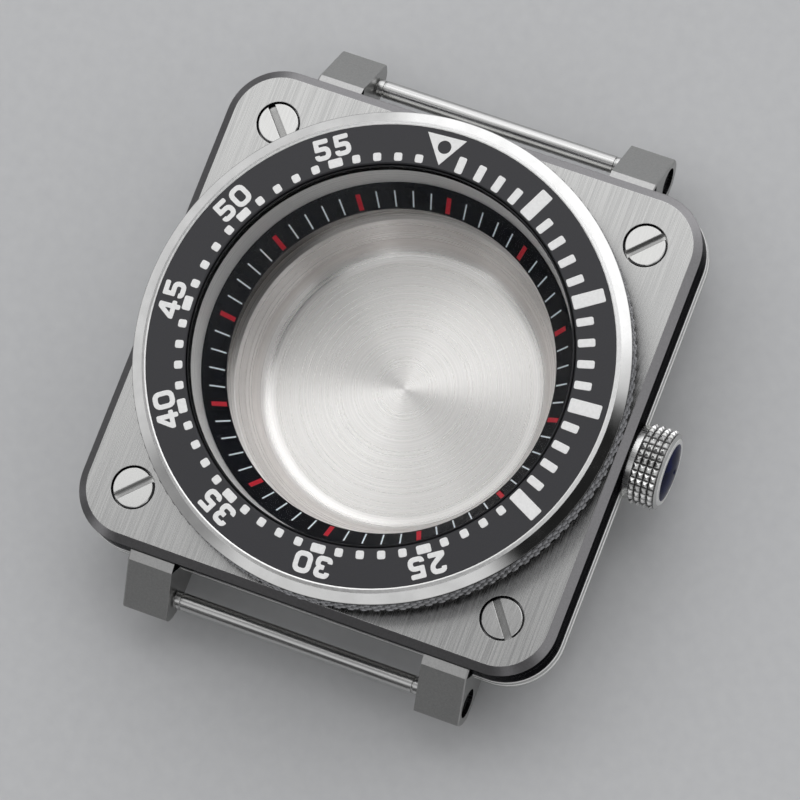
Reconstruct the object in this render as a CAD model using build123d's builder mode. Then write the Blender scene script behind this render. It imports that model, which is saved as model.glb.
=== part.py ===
from build123d import *
from math import cos, pi, radians, sin, tan
import os

# Empty square diver's watch case with a turning bezel.
# Millimetres. X points to the crown at 3 o'clock, Y to 12 o'clock and Z out of the dial.
# The origin is on the bezel's axis, in the plane that the case back rests on.

# Case, from the back up
case_side = 42.0
corner_radius = 4.7
back_plate = 1.4
lower_height = 3.3
lower_inset = 2.6
belt_rib = 0.85
belt_groove = 0.25
belt_proud = 0.08
belt_edge = 0.16
wall_height = 1.75
plate_thickness = 1.5
plate_bevel_width = 0.7
plate_bevel_height = 0.5
strap_recess = 0.3

# Lugs and spring bars
strap_width = 22.16
lug_width = 3.97
lug_ledge = 0.8
lug_ledge_drop = 0.28
lug_nose_radius = 2.0
lug_nose_start = 2.5
lug_edge = 0.1
lug_recess_radius = 1.25
lug_recess_depth = 0.4
bar_reach = 2.15
bar_drop = 4.0
bar_radius = 0.75
bar_wall = 0.2
bar_end_gap = 0.12
bar_crimp_reach = 0.7
bar_crimp_width = 0.14
bar_crimp_depth = 0.12
tip_slide_gap = 0.03
tip_face_gap = 0.08
pivot_radius = 0.4
pivot_length = 1.1
pivot_gap = 0.05
plunger_length = 2.6
tip_travel = 1.2
bar_spring_gap = 0.05
bar_spring_wall = 0.15

# Bore and chapter ring, as radii, and depths below the face plate's top
dial_bore = 14.25
dial_bore_length = 3.1
dial_seat_depth = 1.9
dial_bore_lead = 0.3
dial_relief_height = 0.3
dial_relief_width = 0.3
back_bore_step = 0.75
ring_overlap = 0.57
ring_seat_width = 1.15
ring_lip = 0.16
ring_rise = 1.89
ring_land = 0.04
ring_gap = 0.02

# Neck and crystal
neck_flare = 0.35
neck_wall = 0.5
neck_step = 0.3
neck_plate_gap = 0.03
neck_insert_gap = 0.13
crystal_lap = 0.15
crystal_thickness = 1.5
crystal_edge = 0.12
crystal_ledge_depth = 1.0
gasket_wall = 0.3
gasket_foot = 0.15
gasket_recess = 0.05

# Bezel
bezel_lift = 0.06
bezel_bore_gap = 0.1
bezel_band_height = 1.24
bezel_band_step = 0.34
knurl_height = 2.48
knurl_lip_height = 0.2
knurl_lip_step = 0.05
knurl_lap = 0.1
knurl_edge = 0.06
knurl_slant = 45
knurl_flank = 46
knurl_depth = 0.28
knurl_overcut = 0.06
knurl_reach = 2.0
slope_width = 0.91
slope_rise = 0.36
rim_width = 0.12
rim_bevel_width = 0.24
rim_rise = 0.19
rim_round = 0.04
insert_width = 3.28
insert_thickness = 0.6
insert_edge = 0.1
insert_gap = 0.02
insert_crystal_gap = 0.1
rim_above_insert = 0.05
knurl_count = 120
ratchet_wall = 0.7
ratchet_width = 1.0
ratchet_depth = 0.35
ratchet_mouth = 0.7
click_pocket_gap = 0.1
click_pocket_depth = 0.5
click_thickness = 0.15
click_tongue_width = 0.2
click_tongue_reach = 0.16
click_tongue_length = 0.6
click_count = 3
wire_rise = 1.89
wire_size = 0.4
wire_depth = 0.28
wire_reach = 0.3
wire_play = 0.05
wire_outer_play = 0.1
wire_split = 2.4

# Screws of the face plate
plate_screw_inset = 4.65
plate_head_radius = 1.75
plate_head_height = 0.9
plate_head_gap = 0.1
plate_shank_radius = 1.0
plate_shank_gap = 0.05
plate_shank_length = 4.6
plate_slot_width = 0.62
plate_slot_depth = 0.6
plate_head_edge = 0.12
plate_slot_angles = {(1, 1): 45, (-1, 1): -48, (-1, -1): 45, (1, -1): -52}

# Case back
boss_gap = 0.1
boss_top_gap = 0.05
boss_wall = 1.25
boss_edge = 0.15
dish_flare = 1.15
dish_round = 1.6
back_inset = 0.1
back_slope = 0.6
back_gasket_margin = 0.4
back_gasket_width = 0.8
back_gasket_depth = 0.5
back_screw_inset = 3.7
back_head_radius = 1.5
back_head_height = 0.65
back_head_sink = 0.05
back_head_gap = 0.08
back_head_edge = 0.06
back_shank_radius = 0.8
back_shank_gap = 0.05
back_shank_length = 3.2
back_slot_width = 0.45
back_slot_depth = 0.35
back_slot_angle = 45

# Crown
tube_radius = 1.5
tube_bore = 0.8
tube_stub = 1.9
tube_seat = 3.5
stem_hole_step = 0.15
seal_width = 0.7
seal_gap = 0.02
seal_length = 0.5
seal_offset = 0.25
crown_spot_margin = 0.26
crown_spot_depth = 0.05
crown_gap = 0.05
collar_wall = 0.54
collar_length = 0.65
crown_step = 0.68
crown_knurl_length = 2.22
crown_bevel_length = 0.22
crown_bevel_width = 0.56
crown_face_length = 0.08
crown_face_width = 0.1
crown_rim_width = 0.32
cabochon_gap = 0.02
cabochon_depth = 0.5
cabochon_rise = 0.32
crown_cavity_depth = 2.1
post_radius = 0.6
post_length = 4.5
stem_thread_radius = 0.35
stem_thread_length = 2.5
crown_knurl_rows = 4
crown_knurl_count = 32
crown_groove_depth = 0.26
crown_groove_share = 0.86

# One overrun for every cutting tool
overrun = 1.0

# Heights that follow, from the back up
half_side = case_side / 2
belt_bottom = back_plate + lower_height
belt_middle = belt_bottom + belt_rib
belt_upper = belt_middle + belt_groove
belt_top = belt_upper + belt_rib
wall_top = belt_top + wall_height
plate_top = wall_top + plate_thickness
bezel_bottom = plate_top + bezel_lift
knurl_bottom = bezel_bottom + bezel_band_height
knurl_top = knurl_bottom + knurl_height
knurl_lip_bottom = knurl_top - knurl_lip_height
slope_top = knurl_top + slope_rise
rim_top = slope_top + rim_rise
insert_top = rim_top - rim_above_insert
insert_floor = insert_top - insert_thickness
neck_rim = insert_floor - neck_insert_gap
crystal_ledge = neck_rim - crystal_ledge_depth
crystal_bottom = crystal_ledge + gasket_foot
dial_seat = plate_top - dial_seat_depth
dial_relief = dial_seat - dial_relief_height
dial_bore_bottom = dial_seat - dial_bore_length
boss_top = dial_bore_bottom - boss_top_gap
ring_top = dial_seat + ring_lip + ring_rise
wire_low = bezel_bottom + wire_rise - wire_size / 2
crown_height = belt_upper

# Radii that follow, from the bore outwards
back_bore = dial_bore + back_bore_step
ring_inner = dial_bore - ring_overlap
ring_outer = dial_bore + ring_seat_width
neck_top_bore = ring_outer + neck_flare
crystal_radius = neck_top_bore + crystal_lap
crystal_seat = crystal_radius + gasket_wall
neck_radius = crystal_seat + neck_wall
neck_base = neck_radius + neck_step
bezel_bore = neck_radius + bezel_bore_gap
ratchet_inner = bezel_bore + ratchet_wall
ratchet_outer = ratchet_inner + ratchet_width
insert_inner = crystal_radius + insert_crystal_gap
insert_outer = insert_inner + insert_width
insert_seat = insert_outer + insert_gap
rim_peak = insert_seat + rim_width
slope_inner = rim_peak + rim_bevel_width
knurl_radius = slope_inner + slope_width
knurl_lip = knurl_radius - knurl_lip_step
bezel_band = knurl_radius - bezel_band_step
plate_screw_reach = half_side - plate_screw_inset
back_half = half_side - lower_inset - back_inset
back_screw_reach = back_half - back_screw_inset
crown_cavity_radius = tube_radius + seal_width
collar_radius = crown_cavity_radius + collar_wall
crown_radius = collar_radius + crown_step
crown_bevel_radius = crown_radius - crown_bevel_width
crown_face_radius = crown_bevel_radius - crown_face_width
cabochon_radius = crown_face_radius - crown_rim_width

# Other places
lug_inner = strap_width / 2
lug_outer = lug_inner + lug_width
bar_y = half_side + bar_reach
bar_z = wall_top - bar_drop
crown_face_x = half_side - crown_spot_depth + crown_gap
crown_axis = Axis((0, 0, crown_height), (1, 0, 0))
corners = [(1, 1), (-1, 1), (-1, -1), (1, -1)]


def rounded_side(inset):
    """The case's square outline drawn in by inset, with its corners drawn in alike."""
    side = case_side - 2 * inset
    RectangleRounded(side, side, corner_radius - inset)


def ring_profile(points):
    """A closed profile on the X-Z plane, given as radius and height."""
    Polygon(*points, align=None)


# Middle case: a square container with a sloping underside, two polished belts round
# its side, four lugs, the round bore and the neck that the bezel turns on
with BuildPart() as case_block:
    with BuildSketch(Plane.XY.offset(back_plate)):
        rounded_side(lower_inset)
    with BuildSketch(Plane.XY.offset(belt_bottom)):
        rounded_side(0)
    loft(ruled=True)
    with BuildSketch(Plane.XY.offset(belt_bottom)):
        rounded_side(0)
    extrude(amount=wall_top - belt_bottom)
    with BuildSketch(Plane.XY.offset(back_plate)):
        with Locations((0, half_side), (0, -half_side)):
            Rectangle(strap_width, 2 * strap_recess)
    extrude(amount=wall_top - back_plate, mode=Mode.SUBTRACT)

with BuildPart() as belts:
    for belt_height in (belt_bottom, belt_upper):
        with BuildSketch(Plane.XY.offset(belt_height)):
            rounded_side(-belt_proud)
            with Locations((0, half_side + belt_proud), (0, -half_side - belt_proud)):
                Rectangle(strap_width, 2 * strap_recess, mode=Mode.SUBTRACT)
        extrude(amount=belt_rib)
    belt_rims = belts.faces().filter_by(Axis.Z).edges()
    chamfer(belt_rims, belt_edge)

lug_root = half_side - lower_inset / 2
lug_ledge_y = half_side + lug_ledge
lug_ledge_z = wall_top - lug_ledge_drop
nose_bottom = bar_z - lug_nose_radius


def on_nose(angle):
    """A point on the lug's round nose, which is centred on the spring bar."""
    return (bar_y + lug_nose_radius * cos(radians(angle)), bar_z + lug_nose_radius * sin(radians(angle)))


with BuildPart() as lug:
    with BuildSketch(Plane.YZ.offset(lug_inner)):
        with BuildLine():
            Polyline((lug_root, nose_bottom), (lug_root, wall_top), (half_side, wall_top),
                     (lug_ledge_y, lug_ledge_z), on_nose(lug_nose_start))
            ThreePointArc(on_nose(lug_nose_start), on_nose(-45), on_nose(-90))
            Line(on_nose(-90), (lug_root, nose_bottom))
        make_face()
    extrude(amount=lug_width)
    outer_face = lug.faces().sort_by(Axis.X)[-1]
    shown = [edge for edge in outer_face.edges() if edge.center().Y > half_side]
    chamfer(shown, lug_edge)

with BuildPart() as mid_case:
    add(case_block.part)
    add(belts.part)
    add(lug.part)
    add(mirror(lug.part, about=Plane.YZ))
    add(mirror(lug.part, about=Plane.XZ))
    add(mirror(mirror(lug.part, about=Plane.XZ), about=Plane.YZ))
    with BuildSketch(Plane.XZ):
        ring_profile([(dial_bore, wall_top - overrun), (neck_base, wall_top - overrun),
                      (neck_base, plate_top), (neck_radius, plate_top), (neck_radius, neck_rim),
                      (dial_bore, neck_rim)])
    revolve(axis=Axis.Z)
    with BuildSketch(Plane.XZ):
        ring_profile([(0, back_plate - overrun), (back_bore, back_plate - overrun),
                      (back_bore, dial_bore_bottom), (dial_bore + dial_bore_lead, dial_bore_bottom),
                      (dial_bore, dial_bore_bottom + dial_bore_lead), (dial_bore, dial_relief),
                      (dial_bore + dial_relief_width, dial_relief),
                      (dial_bore + dial_relief_width, dial_seat),
                      (ring_outer + ring_gap, dial_seat), (ring_outer + ring_gap, ring_top),
                      (neck_top_bore, crystal_ledge), (crystal_seat, crystal_ledge),
                      (crystal_seat, neck_rim + overrun), (0, neck_rim + overrun)])
    revolve(axis=Axis.Z, mode=Mode.SUBTRACT)
    with BuildSketch(Plane.XY.offset(wire_low - wire_play)):
        Circle(neck_radius + overrun)
        Circle(neck_radius - wire_depth, mode=Mode.SUBTRACT)
    extrude(amount=wire_size + 2 * wire_play, mode=Mode.SUBTRACT)
    # spot face, tube seat and stem hole for the crown
    with BuildSketch(Plane.YZ.offset(half_side - crown_spot_depth)):
        with Locations((0, crown_height)):
            Circle(collar_radius + crown_spot_margin)
    extrude(amount=overrun, mode=Mode.SUBTRACT)
    with BuildSketch(Plane.YZ.offset(half_side - tube_seat)):
        with Locations((0, crown_height)):
            Circle(tube_radius)
    extrude(amount=tube_seat + overrun, mode=Mode.SUBTRACT)
    with BuildSketch(Plane.YZ):
        with Locations((0, crown_height)):
            Circle(tube_bore + stem_hole_step)
    extrude(amount=half_side, mode=Mode.SUBTRACT)
    # holes through the lugs for the spring bars
    with BuildSketch(Plane.YZ):
        with Locations((bar_y, bar_z), (-bar_y, bar_z)):
            Circle(pivot_radius + pivot_gap)
    extrude(amount=half_side, both=True, mode=Mode.SUBTRACT)
    # round recesses about those holes, in the lugs' outer sides
    for side_x, inward in ((lug_outer, -lug_recess_depth), (-lug_outer, lug_recess_depth)):
        with BuildSketch(Plane.YZ.offset(side_x)):
            with Locations((bar_y, bar_z), (-bar_y, bar_z)):
                Circle(lug_recess_radius)
        extrude(amount=inward, mode=Mode.SUBTRACT)
    # threaded holes of the plate screws and of the back screws
    with BuildSketch(Plane.XY.offset(wall_top)):
        with GridLocations(2 * plate_screw_reach, 2 * plate_screw_reach, 2, 2):
            Circle(plate_shank_radius)
    extrude(amount=plate_thickness - plate_head_height - plate_shank_length, mode=Mode.SUBTRACT)
    with BuildSketch(Plane.XY.offset(back_plate)):
        with GridLocations(2 * back_screw_reach, 2 * back_screw_reach, 2, 2):
            Circle(back_shank_radius + back_shank_gap)
    extrude(amount=back_shank_length + back_shank_gap, mode=Mode.SUBTRACT)
mid_case.part.label = "mid_case"

# Face plate: bevelled all round, bored for the neck, with a pocket for the click spring
click_inner = ratchet_inner - click_pocket_gap
click_outer = ratchet_outer + click_pocket_gap
with BuildPart() as top_plate:
    with BuildSketch(Plane.XY.offset(wall_top)):
        rounded_side(0)
    extrude(amount=plate_thickness - plate_bevel_height)
    with BuildSketch(Plane.XY.offset(plate_top - plate_bevel_height)):
        rounded_side(0)
    with BuildSketch(Plane.XY.offset(plate_top)):
        rounded_side(plate_bevel_width)
    loft(ruled=True)
    with BuildSketch(Plane.XY.offset(wall_top)):
        Circle(neck_base + neck_plate_gap)
        with GridLocations(2 * plate_screw_reach, 2 * plate_screw_reach, 2, 2):
            Circle(plate_shank_radius + plate_shank_gap)
    extrude(amount=plate_thickness, mode=Mode.SUBTRACT)
    with BuildSketch(Plane.XY.offset(plate_top)):
        Circle(click_outer)
        Circle(click_inner, mode=Mode.SUBTRACT)
    extrude(amount=-click_pocket_depth, mode=Mode.SUBTRACT)
    with BuildSketch(Plane.XY.offset(plate_top)):
        with GridLocations(2 * plate_screw_reach, 2 * plate_screw_reach, 2, 2):
            Circle(plate_head_radius + plate_head_gap)
    extrude(amount=-plate_head_height, mode=Mode.SUBTRACT)
top_plate.part.label = "top_plate"


def slotted_screw(head_top, down, place, head, head_height, shank, length, slot_width, slot_depth,
                  angle, edge):
    """A cheese-head screw whose head lies at head_top and whose shank points along down."""
    sense = -1 if down else 1
    with BuildPart() as screw:
        with BuildSketch(Plane.XY.offset(head_top)):
            with Locations(place):
                Circle(head)
        extrude(amount=sense * head_height)
        top_face = screw.faces().sort_by(Axis.Z)[-1 if down else 0]
        chamfer(top_face.edges(), edge)
        with BuildSketch(Plane.XY.offset(head_top + sense * head_height)):
            with Locations(place):
                Circle(shank)
        extrude(amount=sense * length)
        with BuildSketch(Plane.XY.offset(head_top)):
            with Locations(Location((place[0], place[1], 0), (0, 0, angle))):
                Rectangle(2 * (head + overrun), slot_width)
        extrude(amount=sense * slot_depth, mode=Mode.SUBTRACT)
    return screw.part


with BuildPart() as plate_screws:
    for corner in corners:
        add(slotted_screw(plate_top, True, (corner[0] * plate_screw_reach, corner[1] * plate_screw_reach),
                          plate_head_radius, plate_head_height, plate_shank_radius, plate_shank_length,
                          plate_slot_width, plate_slot_depth, plate_slot_angles[corner], plate_head_edge))
plate_screws.part.label = "plate_screws"

# Chapter ring: a thin black cone that drops from the neck to the edge of the dial
with BuildPart() as chapter_ring:
    with BuildSketch(Plane.XZ):
        ring_profile([(ring_inner, dial_seat), (ring_outer, dial_seat), (ring_outer, ring_top),
                      (ring_outer - ring_land, ring_top), (ring_inner, dial_seat + ring_lip)])
    revolve(axis=Axis.Z)
chapter_ring.part.label = "chapter_ring"

# Crystal and the gasket that holds it
with BuildPart() as crystal:
    with BuildSketch(Plane.XY.offset(crystal_bottom)):
        Circle(crystal_radius)
    extrude(amount=crystal_thickness)
    chamfer(crystal.faces().sort_by(Axis.Z)[-1].edges(), crystal_edge)
crystal.part.label = "crystal"

with BuildPart() as crystal_gasket:
    with BuildSketch(Plane.XZ):
        ring_profile([(neck_top_bore, crystal_ledge), (crystal_seat, crystal_ledge),
                      (crystal_seat, neck_rim - gasket_recess), (crystal_radius, neck_rim - gasket_recess),
                      (crystal_radius, crystal_bottom), (neck_top_bore, crystal_bottom)])
    revolve(axis=Axis.Z)
crystal_gasket.part.label = "crystal_gasket"

# Bezel: a diamond knurl round the rim and 120 ratchet notches underneath
groove_floor = knurl_radius - knurl_depth
groove_reach = knurl_depth + knurl_overcut
groove_half = groove_reach * tan(radians(knurl_flank))
knurl_middle = (knurl_bottom + knurl_lip_bottom) / 2


def knurl_groove(slant):
    """A V-shaped cutter that crosses the rim at a slant from upright."""
    along = (0, sin(radians(slant)), cos(radians(slant)))
    with BuildPart() as cutter:
        with BuildSketch(Plane(origin=(groove_floor, 0, knurl_middle), x_dir=(1, 0, 0), z_dir=along)):
            Polygon((0, 0), (groove_reach, groove_half), (groove_reach, -groove_half), align=None)
        extrude(amount=knurl_reach, both=True)
    return cutter.part


with BuildPart() as knurl_rim:
    with BuildSketch(Plane.XZ):
        ring_profile([(bezel_band - knurl_lap, knurl_bottom), (knurl_radius - knurl_edge, knurl_bottom),
                      (knurl_radius, knurl_bottom + knurl_edge), (knurl_radius, knurl_lip_bottom),
                      (bezel_band - knurl_lap, knurl_lip_bottom)])
    revolve(axis=Axis.Z)
    for slant in (knurl_slant, -knurl_slant):
        with PolarLocations(0, knurl_count):
            add(knurl_groove(slant), mode=Mode.SUBTRACT)

with BuildPart() as ratchet_notch:
    with BuildSketch(Plane.YZ.offset(ratchet_inner)):
        with BuildLine():
            Polyline((-ratchet_mouth / 2, bezel_bottom), (ratchet_mouth / 2, bezel_bottom),
                     (0, bezel_bottom + ratchet_depth), close=True)
        make_face()
    extrude(amount=ratchet_outer - ratchet_inner)

with BuildPart() as bezel_ring:
    with BuildSketch(Plane.XZ):
        ring_profile([(bezel_bore, bezel_bottom), (bezel_band, bezel_bottom), (bezel_band, knurl_lip_bottom),
                      (knurl_lip, knurl_lip_bottom), (knurl_lip, knurl_top), (slope_inner, slope_top),
                      (rim_peak, rim_top), (insert_seat, rim_top - rim_round), (insert_seat, insert_floor),
                      (bezel_bore, insert_floor)])
    revolve(axis=Axis.Z)
    add(knurl_rim.part)
    with PolarLocations(0, knurl_count):
        add(ratchet_notch.part, mode=Mode.SUBTRACT)
    with BuildSketch(Plane.XY.offset(wire_low - wire_play)):
        Circle(bezel_bore + wire_reach)
    extrude(amount=wire_size + 2 * wire_play, mode=Mode.SUBTRACT)
bezel_ring.part.label = "bezel_ring"

with BuildPart() as bezel_insert:
    with BuildSketch(Plane.XY.offset(insert_floor)):
        Circle(insert_outer)
        Circle(insert_inner, mode=Mode.SUBTRACT)
    extrude(amount=insert_thickness)
    insert_rims = bezel_insert.faces().sort_by(Axis.Z)[-1].edges().sort_by(SortBy.LENGTH)
    chamfer(insert_rims[0], insert_edge)
bezel_insert.part.label = "bezel_insert"

# Split ring that keeps the bezel on the neck
wire_inner = neck_radius - wire_depth
wire_outer = bezel_bore + wire_reach - wire_outer_play
with BuildPart() as bezel_retaining_ring:
    with BuildSketch(Plane.XY.offset(wire_low)):
        Circle(wire_outer)
        Circle(wire_inner, mode=Mode.SUBTRACT)
        with Locations((0, -neck_radius)):
            Rectangle(wire_split, 2 * overrun, mode=Mode.SUBTRACT)
    extrude(amount=wire_size)
bezel_retaining_ring.part.label = "bezel_retaining_ring"

# Click spring: a flat ring in the plate's pocket, whose raised tongues enter the ratchet
click_bottom = plate_top - click_pocket_depth
tongue_height = bezel_bottom + click_tongue_reach - click_bottom
tongue_radius = (ratchet_inner + ratchet_outer) / 2
with BuildPart() as click_spring:
    with BuildSketch(Plane.XY.offset(click_bottom)):
        Circle(ratchet_outer)
        Circle(ratchet_inner, mode=Mode.SUBTRACT)
    extrude(amount=click_thickness)
    with BuildSketch(Plane.XY.offset(click_bottom)):
        with PolarLocations(tongue_radius, click_count):
            Rectangle(click_tongue_length, click_tongue_width)
    extrude(amount=tongue_height)
click_spring.part.label = "click_spring"

# Case back: a square plate with a turned, dished boss that enters the bore
back_corner = corner_radius - lower_inset - back_inset
back_boss = back_bore - boss_gap
dish_rim = back_boss - boss_wall
dish_floor = dish_rim - dish_flare
back_gasket_inner = back_bore + back_gasket_margin
with BuildPart() as case_back:
    with BuildSketch(Plane.XY):
        RectangleRounded(2 * (back_half - back_slope), 2 * (back_half - back_slope),
                         back_corner - back_slope)
    with BuildSketch(Plane.XY.offset(back_plate)):
        RectangleRounded(2 * back_half, 2 * back_half, back_corner)
    loft(ruled=True)
    with BuildSketch(Plane.XZ):
        with BuildLine():
            Polyline((dish_floor - dish_round, back_plate), (0, back_plate), (0, back_plate - overrun),
                     (back_boss, back_plate - overrun), (back_boss, boss_top - boss_edge),
                     (back_boss - boss_edge, boss_top), (dish_rim, boss_top),
                     (dish_floor, back_plate + dish_round))
            TangentArc((dish_floor, back_plate + dish_round), (dish_floor - dish_round, back_plate),
                       tangent=(0, -1))
        make_face()
    revolve(axis=Axis.Z)
    with BuildSketch(Plane.XY.offset(back_plate)):
        Circle(back_gasket_inner + back_gasket_width)
        Circle(back_gasket_inner, mode=Mode.SUBTRACT)
    extrude(amount=-back_gasket_depth, mode=Mode.SUBTRACT)
    with BuildSketch(Plane.XY):
        with GridLocations(2 * back_screw_reach, 2 * back_screw_reach, 2, 2):
            Circle(back_shank_radius + back_shank_gap)
    extrude(amount=back_plate, mode=Mode.SUBTRACT)
    with BuildSketch(Plane.XY):
        with GridLocations(2 * back_screw_reach, 2 * back_screw_reach, 2, 2):
            Circle(back_head_radius + back_head_gap)
    extrude(amount=back_head_sink + back_head_height, mode=Mode.SUBTRACT)
case_back.part.label = "case_back"

with BuildPart() as case_back_gasket:
    with BuildSketch(Plane.XY.offset(back_plate)):
        Circle(back_gasket_inner + back_gasket_width)
        Circle(back_gasket_inner, mode=Mode.SUBTRACT)
    extrude(amount=-back_gasket_depth)
case_back_gasket.part.label = "case_back_gasket"

with BuildPart() as back_screws:
    for corner in corners:
        add(slotted_screw(back_head_sink, False,
                          (corner[0] * back_screw_reach, corner[1] * back_screw_reach),
                          back_head_radius, back_head_height, back_shank_radius,
                          back_plate - back_head_sink - back_head_height + back_shank_length,
                          back_slot_width, back_slot_depth, back_slot_angle, back_head_edge))
back_screws.part.label = "back_screws"

# Crown tube, pressed into the side of the case
tube_start = half_side - tube_seat
with BuildPart() as crown_tube:
    with BuildSketch(Plane.YZ.offset(tube_start)):
        with Locations((0, crown_height)):
            Circle(tube_radius)
            Circle(tube_bore, mode=Mode.SUBTRACT)
    extrude(amount=tube_seat + tube_stub)
crown_tube.part.label = "crown_tube"

# Crown: a hollow cap with four rows of pyramids, a bevelled rim and a threaded post
knurl_start = crown_face_x + collar_length
knurl_end = knurl_start + crown_knurl_length
bevel_end = knurl_end + crown_bevel_length
crown_end = bevel_end + crown_face_length
cavity_end = crown_face_x + crown_cavity_depth
cabochon_floor = crown_end - cabochon_depth
post_start = cavity_end - post_length
row_pitch = crown_knurl_length / crown_knurl_rows
row_half = row_pitch * crown_groove_share / 2
file_pitch = 2 * pi * crown_radius / crown_knurl_count
file_half = file_pitch * crown_groove_share / 2


def crown_profile(points):
    """A closed profile beside the crown's axis, given as place along X and radius."""
    Polygon(*[(along, crown_height + radius) for along, radius in points], align=None)


with BuildPart() as crown:
    with BuildSketch(Plane.XZ):
        crown_profile([(post_start, 0), (post_start, post_radius), (cavity_end, post_radius),
                       (cavity_end, crown_cavity_radius), (crown_face_x, crown_cavity_radius),
                       (crown_face_x, collar_radius), (knurl_start, collar_radius),
                       (knurl_start, crown_radius), (knurl_end, crown_radius),
                       (bevel_end, crown_bevel_radius), (crown_end, crown_face_radius),
                       (crown_end, cabochon_radius), (cabochon_floor, cabochon_radius), (cabochon_floor, 0)])
    revolve(axis=crown_axis)
    with BuildSketch(Plane.XZ):
        for row in range(crown_knurl_rows + 1):
            row_x = knurl_start + row * row_pitch
            crown_profile([(row_x - row_half, crown_radius), (row_x, crown_radius - crown_groove_depth),
                           (row_x + row_half, crown_radius)])
    revolve(axis=crown_axis, mode=Mode.SUBTRACT)
    with BuildSketch(Plane.YZ.offset(knurl_start)):
        with Locations((0, crown_height)):
            with PolarLocations(0, crown_knurl_count):
                Polygon((crown_radius - crown_groove_depth, 0), (crown_radius, file_half),
                        (crown_radius + crown_groove_depth, file_half),
                        (crown_radius + crown_groove_depth, -file_half),
                        (crown_radius, -file_half), align=None)
    extrude(amount=crown_knurl_length, mode=Mode.SUBTRACT)
    with BuildSketch(Plane.YZ.offset(post_start)):
        with Locations((0, crown_height)):
            Circle(stem_thread_radius)
    extrude(amount=stem_thread_length, mode=Mode.SUBTRACT)
crown.part.label = "crown"

# Cabochon: a dark domed stone set in the crown's end
dome_reach = crown_end + cabochon_rise
stone_radius = cabochon_radius - cabochon_gap
with BuildPart() as crown_cabochon:
    with BuildSketch(Plane.XZ):
        with BuildLine():
            Polyline((dome_reach, crown_height), (cabochon_floor, crown_height),
                     (cabochon_floor, crown_height + stone_radius), (crown_end, crown_height + stone_radius))
            TangentArc((dome_reach, crown_height), (crown_end, crown_height + stone_radius), tangent=(0, 1))
        make_face()
    revolve(axis=crown_axis)
crown_cabochon.part.label = "crown_cabochon"

# Seal between the crown and its tube
with BuildPart() as crown_seal:
    with BuildSketch(Plane.YZ.offset(crown_face_x + seal_offset)):
        with Locations((0, crown_height)):
            Circle(crown_cavity_radius - seal_gap)
            Circle(tube_radius + seal_gap, mode=Mode.SUBTRACT)
    extrude(amount=seal_length)
crown_seal.part.label = "crown_seal"

# Spring bars: a tube with a sprung plunger at each end and the coil between them
tube_half = lug_inner - bar_end_gap
crimp_x = lug_inner - bar_crimp_reach
bar_bore = bar_radius - bar_wall
plunger_radius = bar_bore - tip_slide_gap
tip_face = lug_inner - tip_face_gap
plunger_start = tip_face - plunger_length
spring_half = plunger_start - tip_travel


def bar_places(y_place):
    """The tube, coil and two tips of the spring bar whose axis lies at y_place."""
    with BuildPart() as tube:
        with BuildSketch(Plane.YZ):
            with Locations((y_place, bar_z)):
                Circle(bar_radius)
                Circle(bar_bore, mode=Mode.SUBTRACT)
        extrude(amount=tube_half, both=True)
        # the crimp that keeps each tip in shows as a groove
        for crimp in (crimp_x, -crimp_x):
            with BuildSketch(Plane.YZ.offset(crimp - bar_crimp_width / 2)):
                with Locations((y_place, bar_z)):
                    Circle(bar_radius + overrun)
                    Circle(bar_radius - bar_crimp_depth, mode=Mode.SUBTRACT)
            extrude(amount=bar_crimp_width, mode=Mode.SUBTRACT)
    with BuildPart() as coil:
        with BuildSketch(Plane.YZ):
            with Locations((y_place, bar_z)):
                Circle(bar_bore - bar_spring_gap)
                Circle(bar_bore - bar_spring_gap - bar_spring_wall, mode=Mode.SUBTRACT)
        extrude(amount=spring_half, both=True)
    with BuildPart() as right_tip:
        with BuildSketch(Plane.YZ.offset(plunger_start)):
            with Locations((y_place, bar_z)):
                Circle(plunger_radius)
        extrude(amount=plunger_length)
        with BuildSketch(Plane.YZ.offset(tip_face)):
            with Locations((y_place, bar_z)):
                Circle(pivot_radius)
        extrude(amount=tip_face_gap + pivot_length)
    left_tip = mirror(right_tip.part, about=Plane.YZ)
    return {"tube": tube.part, "coil": coil.part, "right_tip": right_tip.part, "left_tip": left_tip}


bars = {"upper_bar": bar_places(bar_y), "lower_bar": bar_places(-bar_y)}

os.makedirs("parts", exist_ok=True)
export_step(mid_case.part, "parts/mid_case.step")
export_step(top_plate.part, "parts/top_plate.step")
export_step(plate_screws.part, "parts/plate_screws.step")
export_step(chapter_ring.part, "parts/chapter_ring.step")
export_step(crystal.part, "parts/crystal.step")
export_step(crystal_gasket.part, "parts/crystal_gasket.step")
export_step(bezel_ring.part, "parts/bezel_ring.step")
export_step(bezel_insert.part, "parts/bezel_insert.step")
export_step(bezel_retaining_ring.part, "parts/bezel_retaining_ring.step")
export_step(click_spring.part, "parts/click_spring.step")
export_step(case_back.part, "parts/case_back.step")
export_step(case_back_gasket.part, "parts/case_back_gasket.step")
export_step(back_screws.part, "parts/back_screws.step")
export_step(crown_tube.part, "parts/crown_tube.step")
export_step(crown.part, "parts/crown.step")
export_step(crown_cabochon.part, "parts/crown_cabochon.step")
export_step(crown_seal.part, "parts/crown_seal.step")
for bar_name, pieces in bars.items():
    for piece_name, piece in pieces.items():
        node = bar_name + "_" + piece_name
        piece.label = node
        export_step(piece, "parts/" + node + ".step")
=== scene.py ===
# %% [markdown]
# # An empty diver's watch case
# The case is already modelled as solids, so this scene gives it its looks: steel with several
# finishes, a black insert with white print, a chapter ring, a crystal, light and a camera.
# Everything is in metres, in the case's own frame: Z comes out of the crystal, Y points to
# 12 o'clock and X to the crown.

# %% Load the solids
import math

import bmesh
import bpy
from mathutils import Matrix, Vector


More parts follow.
